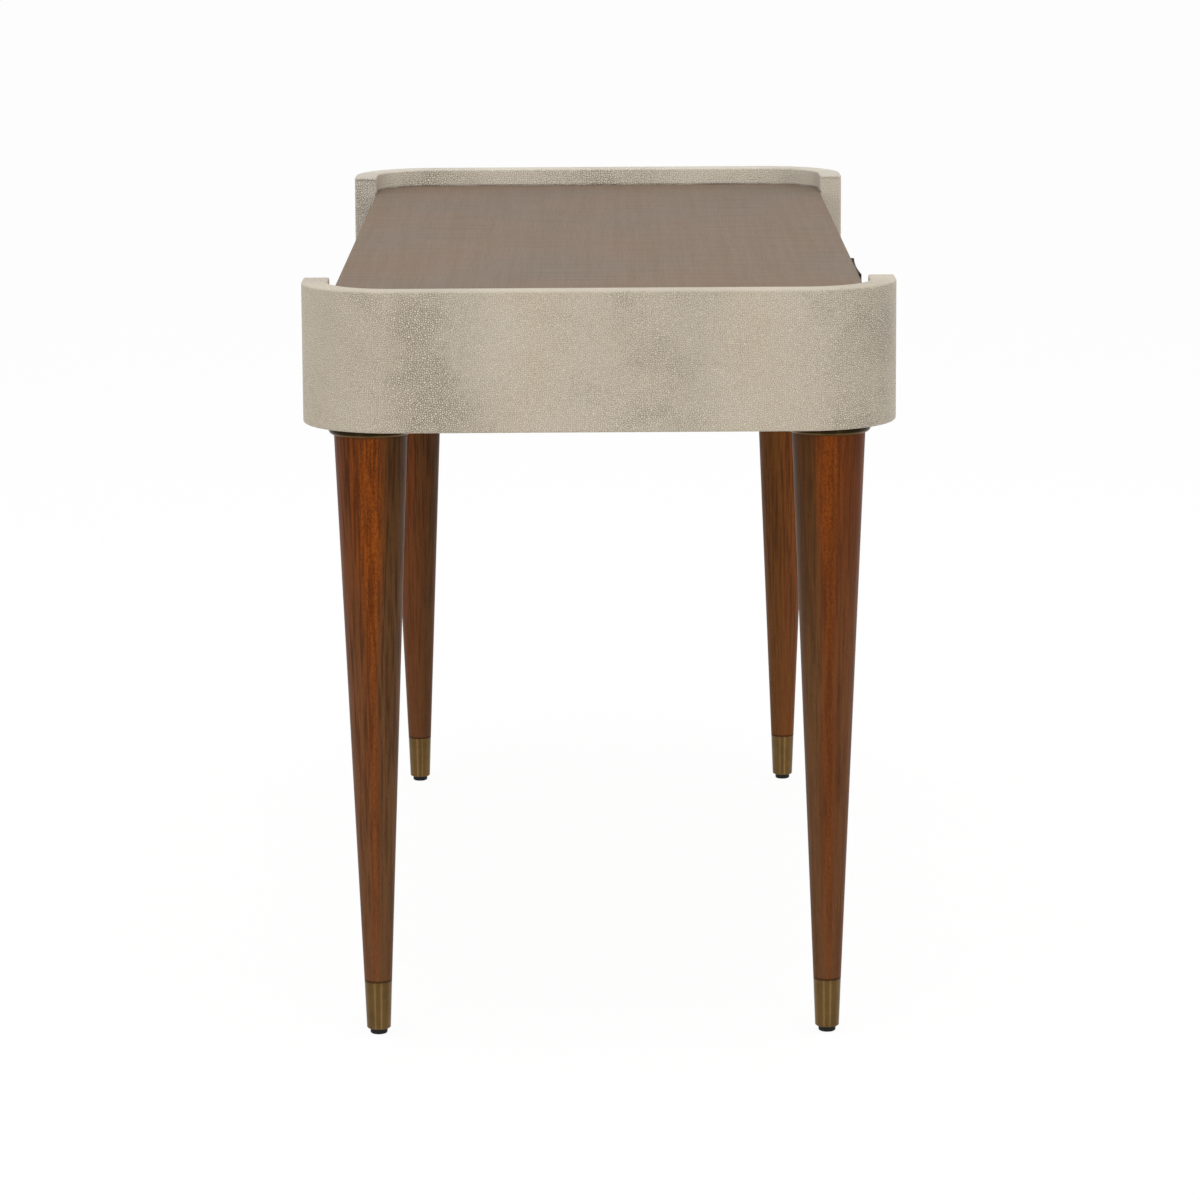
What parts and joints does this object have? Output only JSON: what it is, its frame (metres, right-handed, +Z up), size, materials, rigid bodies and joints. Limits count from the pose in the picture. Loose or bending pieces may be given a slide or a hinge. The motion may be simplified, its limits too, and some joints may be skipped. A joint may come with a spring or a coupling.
{
  "type": "writing desk",
  "caption": "Writing desk with shagreen end bands standing above a wood desktop, drawers under it, and turned tapered legs with brass collars and ferrules.",
  "frame": {"origin": "on the floor under the middle of the desk", "axes": "+X along the desk to the right of a person at it, -Y towards that person, where the drawers open, +Z up"},
  "size_m": [1.372, 0.6165, 0.787],
  "materials": {
    "shagreen": "pebbled",
    "taupe_wood": "satin",
    "leg_wood": "satin",
    "case_wood": "matt",
    "drawer_box_wood": "satin",
    "antique_brass": "aged",
    "dark_bronze": "aged",
    "zinc_steel": "satin",
    "glide_black": "matt"
  },
  "bodies": {
    "root": {"back_left_collar": "antique_brass", "back_left_corner_block": "case_wood", "back_left_ferrule": "antique_brass", "back_left_leg": "leg_wood", "back_panel": "taupe_wood", "back_right_collar": "antique_brass", "back_right_corner_block": "case_wood", "back_right_ferrule": "antique_brass", "back_right_leg": "leg_wood", "case_bottom": "case_wood", "desktop_panel": "taupe_wood", "front_left_collar": "antique_brass", "front_left_corner_block": "case_wood", "front_left_ferrule": "antique_brass", "front_left_leg": "leg_wood", "front_right_collar": "antique_brass", "front_right_corner_block": "case_wood", "front_right_ferrule": "antique_brass", "front_right_leg": "leg_wood", "left_band_core": "case_wood", "left_band_shagreen": "shagreen", "left_case_end": "case_wood", "left_slide_case_members": "zinc_steel", "leg_glides": "glide_black", "leg_hanger_bolts": "zinc_steel", "middle_divider": "case_wood", "right_band_core": "case_wood", "right_band_shagreen": "shagreen", "right_case_end": "case_wood", "right_slide_case_members": "zinc_steel"},
    "left_drawer": {"left_drawer_back": "drawer_box_wood", "left_drawer_bottom": "drawer_box_wood", "left_drawer_front": "taupe_wood", "left_drawer_left_side": "drawer_box_wood", "left_drawer_pull": "dark_bronze", "left_drawer_right_side": "drawer_box_wood", "left_pull_screws": "zinc_steel", "left_slide_drawer_members": "zinc_steel"},
    "left_slide_middles": {"left_slide_middle_members": "zinc_steel"},
    "right_drawer": {"right_drawer_back": "drawer_box_wood", "right_drawer_bottom": "drawer_box_wood", "right_drawer_front": "taupe_wood", "right_drawer_left_side": "drawer_box_wood", "right_drawer_pull": "dark_bronze", "right_drawer_right_side": "drawer_box_wood", "right_pull_screws": "zinc_steel", "right_slide_drawer_members": "zinc_steel"},
    "right_slide_middles": {"right_slide_middle_members": "zinc_steel"}
  },
  "joints": [
    {"name": "left_drawer_slide", "type": "slide", "parent": "root", "child": "left_drawer", "axis": [0, -1, 0], "range_m": [0, 0.45]},
    {"name": "left_middle_members_slide", "type": "slide", "parent": "root", "child": "left_slide_middles", "axis": [0, -1, 0], "range_m": [0, 0.225]},
    {"name": "right_drawer_slide", "type": "slide", "parent": "root", "child": "right_drawer", "axis": [0, -1, 0], "range_m": [0, 0.45]},
    {"name": "right_middle_members_slide", "type": "slide", "parent": "root", "child": "right_slide_middles", "axis": [0, -1, 0], "range_m": [0, 0.225]}
  ],
  "couplings": [
    {"joint": "left_middle_members_slide", "follows": "left_drawer_slide", "ratio": 0.5},
    {"joint": "right_middle_members_slide", "follows": "right_drawer_slide", "ratio": 0.5}
  ]
}
